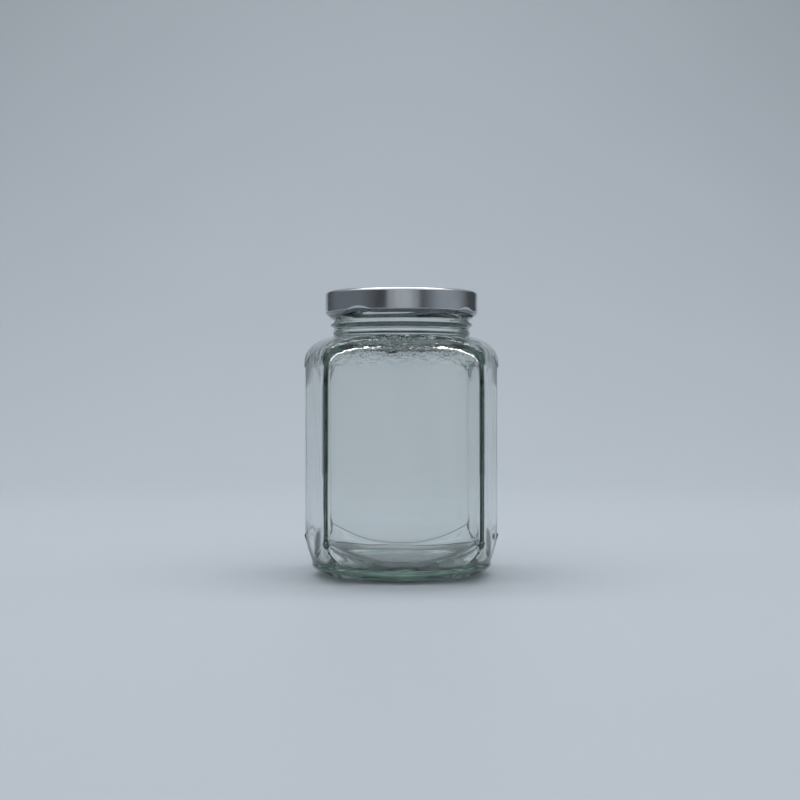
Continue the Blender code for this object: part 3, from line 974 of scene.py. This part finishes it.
@dataclass
class TwistOffLid:
    """The metal lid: a pressed top, a plain skirt and a rolled edge that is pushed in at each lug."""

    radius: float = 33.0 * MM
    top: float = 122.1 * MM
    bottom: float = 111.7 * MM
    sheet: float = 0.5 * MM
    shoulder_radius: float = 1.5 * MM
    roll_radius: float = 0.5 * MM
    slant_width: float = 1.4 * MM
    slant_height: float = 1.6 * MM
    slant_power: float = 1.1
    step_radius: float = 26.2 * MM
    step_width: float = 0.8 * MM
    step_depth: float = 0.5 * MM
    lug_count: int = 4
    lug_azimuth: float = math.radians(-125.4)
    lug_half_span: float = math.radians(14.0)
    lug_height: float = 3.3 * MM
    lug_press: float = 0.35 * MM
    lug_bend_run: float = 2.4 * MM
    lug_lift: float = 0.7 * MM
    turns: int = 360
    flat_rings: int = 8
    fold_steps: int = 8
    arc_steps: int = 10
    inside_rows: int = 24
    outside_rows: int = 36
    roll_start: float = math.radians(135.0)
    roll_turn: float = math.radians(135.0)
    merge_distance: float = 0.002 * MM
    crease_angle: float = math.radians(50.0)

    def outline(self) -> list[Point]:
        """Works out the lid's section, from under its top round the rolled edge and up over its outside.

        Returns:
            The points, as distance from the axis and height.
        """
        corner = (self.radius - self.shoulder_radius, self.top - self.shoulder_radius)
        roll = (self.radius - self.slant_width, self.bottom + self.roll_radius)
        slant_top = self.bottom + self.slant_height
        flat = self.step_radius - self.step_width
        under = self.top - self.step_depth - self.sheet
        rings = range(1, self.flat_rings + 1)
        points = [(0.0, under)]
        points += [(flat * step / self.flat_rings, under) for step in rings]
        for step in range(1, self.fold_steps + 1):
            share = step / self.fold_steps
            points.append((flat + self.step_width * share, under + self.step_depth * ease(share)))
        for step in range(self.fold_steps, -1, -1):
            turn = math.pi / 2 * step / self.fold_steps
            points.append(on_circle(corner, self.shoulder_radius - self.sheet, turn))
        inside = self.radius - self.sheet
        low = roll[1] + self.roll_radius
        for step in range(1, self.inside_rows):
            points.append((inside, corner[1] + (low - corner[1]) * step / self.inside_rows))
        for step in range(self.arc_steps + 1):
            turn = self.roll_start + self.roll_turn * step / self.arc_steps
            points.append(on_circle(roll, self.roll_radius, turn))
        for step in range(1, self.arc_steps + 1):
            down, out = power_arc(math.pi / 2 * step / self.arc_steps, self.slant_power)
            points.append((roll[0] + self.slant_width * out, slant_top - self.slant_height * down))
        for step in range(1, self.outside_rows):
            points.append((self.radius, slant_top + (corner[1] - slant_top) * step / self.outside_rows))
        for step in range(self.arc_steps + 1):
            points.append(on_circle(corner, self.shoulder_radius, math.pi / 2 * step / self.arc_steps))
        for step in range(self.fold_steps + 1):
            share = step / self.fold_steps
            height = self.top - self.step_depth * ease(share)
            points.append((self.step_radius - self.step_width * share, height))
        points += [(flat * (1 - step / self.flat_rings), self.top - self.step_depth) for step in rings]
        return points

    def outline_mesh(self) -> bpy.types.Mesh:
        """Makes the section a mesh that the tree can read.

        Returns:
            A row of points, with radius as x and height as z.
        """
        mesh = bpy.data.meshes.new("lid_outline")
        points = [(radius, 0.0, height) for radius, height in self.outline()]
        mesh.from_pydata(points, [(here, here + 1) for here in range(len(points) - 1)], [])
        return mesh

    def turning_tree(self) -> bpy.types.GeometryNodeTree:
        """Builds the tree that turns the outline round the axis and pushes in the lugs.

        Returns:
            The tree, with named inputs for the sizes.
        """
        tree = bpy.data.node_groups.new("turned_lid_with_lugs", "GeometryNodeTree")
        sheet = NodeSheet(tree)
        face = tree.interface
        face.new_socket("Outline", in_out="INPUT", socket_type="NodeSocketGeometry")
        face.new_socket("Turns", in_out="INPUT", socket_type="NodeSocketInt")
        face.new_socket("Points", in_out="INPUT", socket_type="NodeSocketInt")
        lug_sizes = ("Count", "Azimuth", "Half Span", "Height", "Press", "Lift", "Bend Run")
        for name in [f"Lug {size}" for size in lug_sizes] + ["Bottom", "Roll"]:
            face.new_socket(name, in_out="INPUT", socket_type="NodeSocketFloat")
        face.new_socket("Finish", in_out="INPUT", socket_type="NodeSocketMaterial")
        face.new_socket("Lid", in_out="OUTPUT", socket_type="NodeSocketGeometry")
        given = sheet.add("NodeGroupInput").outputs
        index = sheet.add("GeometryNodeInputIndex").outputs[0]
        grid = sheet.add("GeometryNodeMeshGrid")
        tree.links.new(given["Points"], grid.inputs["Vertices X"])
        tree.links.new(sheet.math("ADD", given["Turns"], 1.0), grid.inputs["Vertices Y"])
        columns = sheet.math("ADD", given["Turns"], 1.0)
        row = sheet.math("FLOOR", sheet.math("DIVIDE", sheet.math("ADD", index, 0.5), columns))
        column = sheet.math("SUBTRACT", index, sheet.math("MULTIPLY", row, columns))
        azimuth = sheet.math("DIVIDE", sheet.math("MULTIPLY", column, 2 * math.pi), given["Turns"])
        place = sheet.add("GeometryNodeInputPosition").outputs[0]
        sample = sheet.add("GeometryNodeSampleIndex", {"data_type": "FLOAT_VECTOR", "domain": "POINT"})
        tree.links.new(given["Outline"], sample.inputs["Geometry"])
        tree.links.new(place, sample.inputs["Value"])
        tree.links.new(row, sample.inputs["Index"])
        parts = sheet.add("ShaderNodeSeparateXYZ", _0=sample.outputs[0]).outputs
        radius, height = parts["X"], parts["Z"]
        pitch = sheet.math("DIVIDE", 2 * math.pi, given["Lug Count"])
        half_pitch = sheet.math("DIVIDE", pitch, 2.0)
        turned = sheet.math("ADD", sheet.math("SUBTRACT", azimuth, given["Lug Azimuth"]), half_pitch)
        offset = sheet.math("SUBTRACT", sheet.math("FLOORED_MODULO", turned, pitch), half_pitch)
        part = sheet.math("DIVIDE", offset, given["Lug Half Span"])
        share = sheet.math("MAXIMUM", 0.0, sheet.math("SUBTRACT", 1.0, sheet.math("MULTIPLY", part, part)))
        rolled = sheet.math("MULTIPLY", given["Roll"], 2.0)
        reach = sheet.math("SUBTRACT", given["Lug Height"], rolled)
        bend = sheet.math("ADD", sheet.math("MULTIPLY", reach, share), rolled)
        above = sheet.math("SUBTRACT", height, given["Bottom"])
        fall = sheet.math("DIVIDE", sheet.math("SUBTRACT", bend, above), given["Lug Bend Run"])
        smooth = {"interpolation_type": "SMOOTHSTEP"}
        weight = sheet.add("ShaderNodeMapRange", smooth, _0=fall, _1=0.0, _2=1.0).outputs[0]
        press = sheet.math("MULTIPLY", given["Lug Press"], sheet.math("SQRT", share))
        pressed = sheet.math("MULTIPLY", press, weight)
        lifted = sheet.math("MULTIPLY", sheet.math("MULTIPLY", given["Lug Lift"], share), weight)
        out = sheet.math("SUBTRACT", radius, pressed)
        spot = sheet.add(
            "ShaderNodeCombineXYZ",
            X=sheet.math("MULTIPLY", out, sheet.math("COSINE", azimuth)),
            Y=sheet.math("MULTIPLY", out, sheet.math("SINE", azimuth)),
            Z=sheet.math("ADD", height, lifted),
        )
        moved = sheet.add("GeometryNodeSetPosition", Geometry=grid.outputs[0], Position=spot.outputs[0])
        joined = sheet.add(
            "GeometryNodeMergeByDistance", Geometry=moved.outputs[0], Distance=self.merge_distance
        )
        whole = sheet.add("GeometryNodeRealizeInstances", Geometry=joined.outputs[0])
        dressed = sheet.add("GeometryNodeSetMaterial", Geometry=whole.outputs[0], Material=given["Finish"])
        sheet.add("NodeGroupOutput", Lid=dressed.outputs[0])
        return tree

    def build(self) -> bpy.types.Object:
        """Builds the lid and dresses it.

        Returns:
            The finished object.
        """
        tree = self.turning_tree()
        draft = bpy.data.objects.new("lid_draft", self.outline_mesh())
        bpy.context.scene.collection.objects.link(draft)
        modifier = draft.modifiers.new("turned", "NODES")
        modifier.node_group = tree
        values = {
            "Turns": self.turns,
            "Points": len(self.outline()),
            "Lug Count": float(self.lug_count),
            "Lug Azimuth": self.lug_azimuth,
            "Lug Half Span": self.lug_half_span,
            "Lug Height": self.lug_height,
            "Lug Press": self.lug_press,
            "Lug Lift": self.lug_lift,
            "Lug Bend Run": self.lug_bend_run,
            "Bottom": self.bottom,
            "Roll": self.roll_radius,
            "Finish": SilverTinplate().make(),
        }
        for item in tree.interface.items_tree:
            if item.in_out == "INPUT" and item.name in values:
                modifier[item.identifier] = values[item.name]
        graph = bpy.context.evaluated_depsgraph_get()
        mesh = bpy.data.meshes.new_from_object(draft.evaluated_get(graph), depsgraph=graph)
        draft.modifiers.remove(modifier)
        bpy.data.objects.remove(draft)
        tidy = bmesh.new()
        tidy.from_mesh(mesh)
        bmesh.ops.recalc_face_normals(tidy, faces=tidy.faces[:])
        tidy.to_mesh(mesh)
        tidy.free()
        mesh.shade_smooth()
        mesh.set_sharp_from_angle(angle=self.crease_angle)
        return adopt("twist_off_lid", mesh, "lid")


@dataclass
class Softbox:
    """A plain rectangular soft light, aimed at a place."""

    name: str
    place: tuple[float, float, float]
    aim: tuple[float, float, float]
    width: float
    height: float
    power: float
    colour: Colour = (1.0, 1.0, 1.0)

    def build(self) -> bpy.types.Object:
        """Builds the light.

        Returns:
            The light's object.
        """
        lamp = bpy.data.lights.new(self.name, "AREA")
        lamp.shape = "RECTANGLE"
        lamp.size = self.width
        lamp.size_y = self.height
        lamp.energy = self.power
        lamp.color = self.colour
        item = bpy.data.objects.new(self.name, lamp)
        item.location = self.place
        item.rotation_euler = (Vector(self.aim) - Vector(self.place)).to_track_quat("-Z", "Y").to_euler()
        bpy.context.scene.collection.objects.link(item)
        return item


@dataclass
class Studio:
    """The pale table that sweeps up behind the jar, the room's light and the camera."""

    floor_front: float = -0.36
    floor_back: float = 0.6
    sweep_radius: float = 1.0
    sweep_steps: int = 24
    wall_top: float = 2.2
    half_width: float = 0.74
    camera_distance: float = 0.58975
    camera_height: float = 0.0755
    camera_turn: float = math.radians(1.6)
    camera_yaw: float = math.atan2(1.5, 1357.0)
    lens: float = 61.07
    sensor: float = 36.0
    room_dark: Colour = (0.065, 0.070, 0.077)
    room_left: Colour = (0.165, 0.185, 0.205)
    room_right: Colour = (0.32, 0.35, 0.38)
    room_above: Colour = (0.40, 0.42, 0.44)
    left_span: Point = (-0.60, -0.92)
    right_way: Point = (0.96, 0.28)
    right_span: Point = (0.72, 0.97)
    above_span: Point = (0.3, 0.6)
    daylight: Colour = (0.93, 1.0, 1.03)

    def build_floor(self) -> bpy.types.Object:
        """Builds the table and the backdrop as one curved sheet.

        Returns:
            The sheet.
        """
        line = [(self.floor_front, 0.0), (self.floor_back, 0.0)]
        for step in range(1, self.sweep_steps + 1):
            turn = math.pi / 2 * step / self.sweep_steps
            along = self.floor_back + self.sweep_radius * math.sin(turn)
            line.append((along, self.sweep_radius * (1 - math.cos(turn))))
        line.append((self.floor_back + self.sweep_radius, self.wall_top))
        mesh = bpy.data.meshes.new("pale_sweep")
        points = [(side * self.half_width, along, up) for along, up in line for side in (-1, 1)]
        faces = [(here, here + 1, here + 3, here + 2) for here in range(0, len(points) - 2, 2)]
        mesh.from_pydata(points, [], faces)
        mesh.shade_smooth()
        mesh.materials.append(PaleBoard().make())
        item = bpy.data.objects.new("pale_sweep", mesh)
        bpy.context.scene.collection.objects.link(item)
        return item

    def build_room(self) -> None:
        """Lights the room: dark behind the camera, paler on the left and right, palest from above."""
        world = bpy.data.worlds.new("room")
        world.use_nodes = True
        bpy.context.scene.world = world
        sheet = NodeSheet(world.node_tree)
        place = sheet.add("ShaderNodeTexCoord").outputs["Generated"]
        parts = sheet.add("ShaderNodeSeparateXYZ", _0=place).outputs
        left = sheet.spread(parts["X"], *self.left_span, 0.0, 1.0)
        across = sheet.math("MULTIPLY", parts["X"], self.right_way[0])
        behind = sheet.math("MULTIPLY", parts["Y"], self.right_way[1])
        right = sheet.spread(sheet.math("SUBTRACT", across, behind), *self.right_span, 0.0, 1.0)
        above = sheet.spread(parts["Z"], *self.above_span, 0.0, 1.0)
        tone = sheet.blend(left, self.room_dark, self.room_left)
        tone = sheet.blend(right, tone, self.room_right)
        tone = sheet.blend(above, tone, self.room_above)
        back = sheet.add("ShaderNodeBackground", Color=tone, Strength=1.0)
        sheet.add("ShaderNodeOutputWorld", Surface=back.outputs[0])

    def build_lights(self) -> None:
        """Places the soft lights."""
        lid = (0.0, 0.0, 0.12)
        boxes = (
            Softbox("ceiling_softbox", (0.0, -0.35, 1.25), (0.0, -0.35, 0.0), 2.4, 1.6, 11.5),
            Softbox("window_card", (0.02, -1.25, 0.30), lid, 1.10, 0.9, 0.95, self.daylight),
            Softbox("window_middle", (0.03, -1.24, 0.30), lid, 0.55, 0.9, 0.20, self.daylight),
            Softbox("backdrop_wash", (0.0, 0.40, 1.4), (0.0, 1.1, 0.1), 1.4, 0.5, 7.5),
        )
        for box in boxes:
            box.build()

    def build_camera(self) -> bpy.types.Object:
        """Places the camera where the photograph was taken from.

        Returns:
            The camera.
        """
        data = bpy.data.cameras.new("photograph_view")
        data.lens = self.lens
        data.sensor_width = self.sensor
        data.clip_start = 0.01
        item = bpy.data.objects.new("photograph_view", data)
        item.location = (
            -self.camera_distance * math.sin(self.camera_turn),
            -self.camera_distance * math.cos(self.camera_turn),
            self.camera_height,
        )
        item.rotation_euler = (math.pi / 2, 0.0, -self.camera_turn + self.camera_yaw)
        bpy.context.scene.collection.objects.link(item)
        bpy.context.scene.camera = item
        return item

    def build(self) -> None:
        """Builds the whole studio and sets how light becomes picture."""
        self.build_floor()
        self.build_room()
        self.build_lights()
        self.build_camera()
        scene = bpy.context.scene
        scene.view_settings.view_transform = "Standard"
        scene.view_settings.look = "None"
        scene.cycles.max_bounces = 24
        scene.cycles.transmission_bounces = 20
        scene.cycles.glossy_bounces = 12
        scene.cycles.transparent_max_bounces = 16


def main() -> None:
    """Builds every piece in order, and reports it."""
    logging.basicConfig(level=logging.INFO, format="%(name)s: %(message)s")
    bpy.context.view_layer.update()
    for maker in (GlassJar(), TwistOffLid()):
        piece = maker.build()
        log.info("%s: %d faces", piece.name, len(piece.data.polygons))
    Studio().build()
    log.info("studio: floor, lights and camera")


if __name__ == "__main__":
    main()
